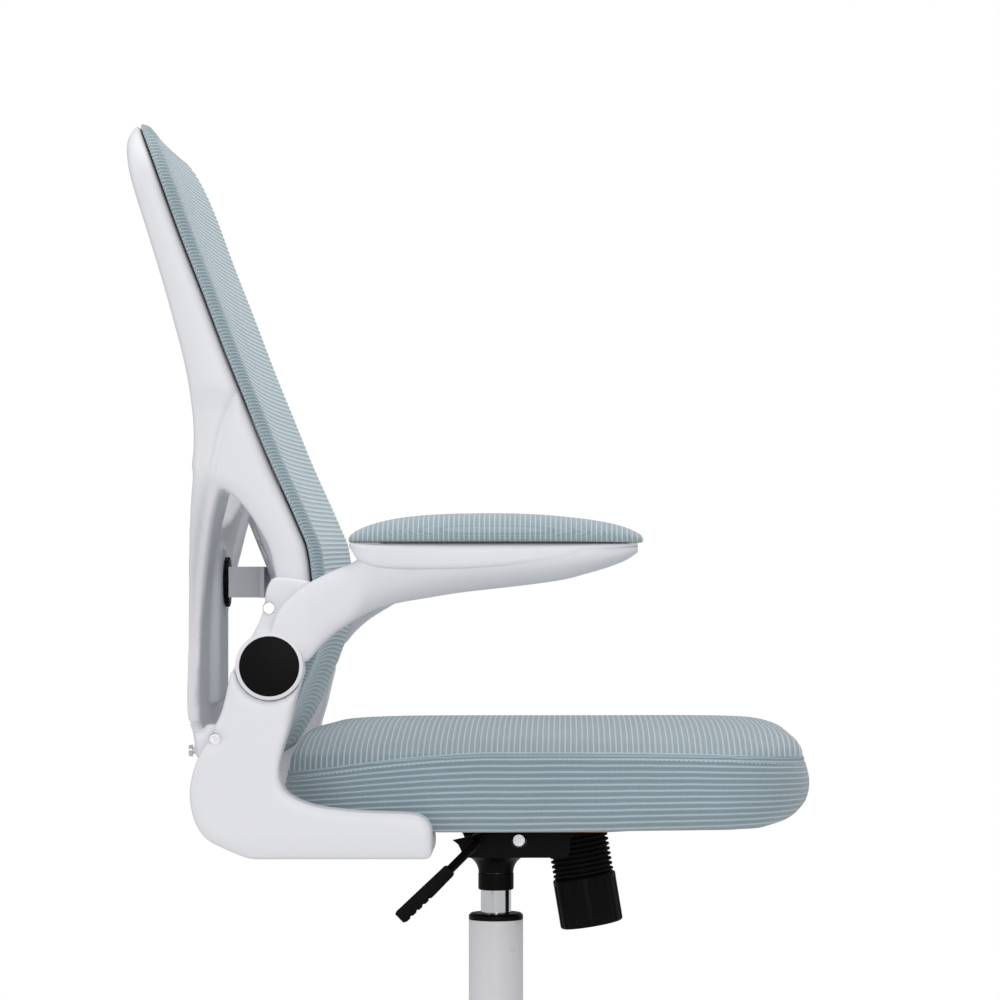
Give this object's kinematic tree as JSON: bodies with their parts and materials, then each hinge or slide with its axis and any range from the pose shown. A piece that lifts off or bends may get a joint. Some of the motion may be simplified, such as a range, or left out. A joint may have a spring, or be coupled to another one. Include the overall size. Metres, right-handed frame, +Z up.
{
  "type": "office chair",
  "caption": "Mesh-back office chair with flip-up arms, padded seat, tilt mechanism with tension knob, gas lift and star base on casters.",
  "frame": {"origin": "on the floor, on the axis of the gas lift", "axes": "+X towards the front of the seat, +Y to the sitter's left, +Z up"},
  "size_m": [0.6274, 0.6352, 1],
  "materials": {
    "white_plastic": "satin moulded",
    "white_nylon": "fine grained",
    "white_paint": "powder coat",
    "black_plastic": "fine grained",
    "black_rubber": "matt",
    "black_steel": "black powder coat",
    "bright_steel": "zinc plated",
    "chrome_tube": "polished",
    "plywood": "raw plywood",
    "seat_fabric": "ribbed woven mesh over foam",
    "pad_fabric": "ribbed woven mesh over foam",
    "back_mesh_fabric": "ribbed tensioned mesh",
    "wheel_plastic": "hard nylon tread"
  },
  "bodies": {
    "base": {"base_star": "white_nylon", "outer_tube": "white_paint", "guide_bush": "black_plastic"},
    "column_rod": {"piston_rod": "bright_steel", "thrust_bearing": "bright_steel"},
    "mechanism": {"gas_cylinder": "chrome_tube", "cylinder_collar": "black_plastic", "tilt_housing": "black_steel", "tilt_pin": "bright_steel", "tension_spring": "bright_steel", "spring_boot": "black_rubber"},
    "valve": {"valve_pin": "bright_steel"},
    "lever_slide": {"lever_sleeve": "black_plastic"},
    "lever": {"lever_rod": "black_steel", "lever_handle": "black_plastic"},
    "seat": {"seat_plate": "black_steel", "seat_board": "plywood", "seat_bolts": "bright_steel", "seat_cushion": "seat_fabric", "back_frame": "white_plastic", "mesh_rim": "black_plastic", "back_mesh": "back_mesh_fabric", "back_spine": "white_plastic", "spine_screws": "bright_steel", "arm_bracket_right": "white_plastic", "arm_bracket_left": "white_plastic", "bracket_bolts": "bright_steel", "back_screws": "bright_steel", "pivot_pins": "bright_steel", "tension_bolt": "bright_steel"},
    "knob": {"tension_knob": "black_plastic"},
    "nut": {"spring_nut": "bright_steel"},
    "arm_r": {"arm_right": "white_plastic", "arm_pad_right": "pad_fabric", "pivot_cap_right": "black_plastic"},
    "arm_l": {"arm_left": "white_plastic", "arm_pad_left": "pad_fabric", "pivot_cap_left": "black_plastic"},
    "lumbar": {"lumbar_arm": "white_plastic", "lumbar_pad": "white_plastic", "lumbar_stud": "bright_steel"},
    "lumbar_clamp": {"lumbar_disc": "black_plastic"},
    "caster_1": {"caster_stem_1": "bright_steel", "caster_hood_1": "white_nylon"},
    "wheels_1": {"caster_wheels_1": "wheel_plastic"},
    "caster_2": {"caster_stem_2": "bright_steel", "caster_hood_2": "white_nylon"},
    "wheels_2": {"caster_wheels_2": "wheel_plastic"},
    "caster_3": {"caster_stem_3": "bright_steel", "caster_hood_3": "white_nylon"},
    "wheels_3": {"caster_wheels_3": "wheel_plastic"},
    "caster_4": {"caster_stem_4": "bright_steel", "caster_hood_4": "white_nylon"},
    "wheels_4": {"caster_wheels_4": "wheel_plastic"},
    "caster_5": {"caster_stem_5": "bright_steel", "caster_hood_5": "white_nylon"},
    "wheels_5": {"caster_wheels_5": "wheel_plastic"}
  },
  "joints": [
    {"name": "seat_swivel", "type": "hinge", "parent": "base", "child": "column_rod", "pos_m": [0, 0, 0.067], "axis": [0, 0, 1], "continuous": true},
    {"name": "seat_lift", "type": "slide", "parent": "column_rod", "child": "mechanism", "axis": [0, 0, 1], "range_m": [-0.018, 0.082]},
    {"name": "back_tilt", "type": "hinge", "parent": "mechanism", "child": "seat", "pos_m": [0.022, 0, 0.365], "axis": [0, -1, 0], "range_deg": [0, 11], "stiffness_Nm_per_rad": 150, "springref_deg": -20.05, "deforming": ["tension_spring", "spring_boot"]},
    {"name": "valve_press", "type": "slide", "parent": "mechanism", "child": "valve", "axis": [0, 0, -1], "range_m": [0, 0.0035]},
    {"name": "tilt_lock", "type": "slide", "parent": "mechanism", "child": "lever_slide", "axis": [0, -1, 0], "range_m": [0, 0.012]},
    {"name": "height_lever", "type": "hinge", "parent": "lever_slide", "child": "lever", "pos_m": [-0.016, -0.09, 0.365], "axis": [0, 1, 0], "range_deg": [0, 10], "stiffness_Nm_per_rad": 1.2, "springref_deg": -14.32},
    {"name": "tension_turn", "type": "hinge", "parent": "seat", "child": "knob", "pos_m": [0.0807, 0, 0.328], "axis": [-0.165, 0, 0.9863], "range_deg": [0, 720]},
    {"name": "nut_climb", "type": "slide", "parent": "seat", "child": "nut", "axis": [-0.165, 0, 0.9863], "range_m": [0, 0.006]},
    {"name": "arm_flip_right", "type": "hinge", "parent": "seat", "child": "arm_r", "pos_m": [-0.1875, -0.276, 0.528], "axis": [0, -1, 0], "range_deg": [0, 90]},
    {"name": "arm_flip_left", "type": "hinge", "parent": "seat", "child": "arm_l", "pos_m": [-0.1875, 0.276, 0.528], "axis": [0, -1, 0], "range_deg": [0, 90]},
    {"name": "lumbar_height", "type": "slide", "parent": "seat", "child": "lumbar", "axis": [0, 0, 1], "range_m": [-0.02, 0.02]},
    {"name": "lumbar_clamp_turn", "type": "hinge", "parent": "lumbar", "child": "lumbar_clamp", "pos_m": [-0.249, 0, 0.597], "axis": [1, 0, 0], "range_deg": [0, 90]},
    {"name": "caster_swivel_1", "type": "hinge", "parent": "base", "child": "caster_1", "pos_m": [0.29, 0, 0.08], "axis": [0, 0, 1], "continuous": true},
    {"name": "wheel_spin_1", "type": "hinge", "parent": "caster_1", "child": "wheels_1", "pos_m": [0.272, 0, 0.03], "axis": [0, 1, 0], "continuous": true},
    {"name": "caster_swivel_2", "type": "hinge", "parent": "base", "child": "caster_2", "pos_m": [0.08962, 0.27581, 0.08], "axis": [0, 0, 1], "continuous": true},
    {"name": "wheel_spin_2", "type": "hinge", "parent": "caster_2", "child": "wheels_2", "pos_m": [0.08405, 0.25869, 0.03], "axis": [-0.9511, 0.309, 0], "continuous": true},
    {"name": "caster_swivel_3", "type": "hinge", "parent": "base", "child": "caster_3", "pos_m": [-0.23461, 0.17046, 0.08], "axis": [0, 0, 1], "continuous": true},
    {"name": "wheel_spin_3", "type": "hinge", "parent": "caster_3", "child": "wheels_3", "pos_m": [-0.22005, 0.15988, 0.03], "axis": [-0.5878, -0.809, 0], "continuous": true},
    {"name": "caster_swivel_4", "type": "hinge", "parent": "base", "child": "caster_4", "pos_m": [-0.23461, -0.17046, 0.08], "axis": [0, 0, 1], "continuous": true},
    {"name": "wheel_spin_4", "type": "hinge", "parent": "caster_4", "child": "wheels_4", "pos_m": [-0.22005, -0.15988, 0.03], "axis": [0.5878, -0.809, 0], "continuous": true},
    {"name": "caster_swivel_5", "type": "hinge", "parent": "base", "child": "caster_5", "pos_m": [0.08962, -0.27581, 0.08], "axis": [0, 0, 1], "continuous": true},
    {"name": "wheel_spin_5", "type": "hinge", "parent": "caster_5", "child": "wheels_5", "pos_m": [0.08405, -0.25869, 0.03], "axis": [0.9511, 0.309, 0], "continuous": true}
  ],
  "couplings": [
    {"joint": "valve_press", "follows": "height_lever", "m_per_rad": 0.02},
    {"joint": "nut_climb", "follows": "tension_turn", "m_per_rad": 0.000477}
  ]
}
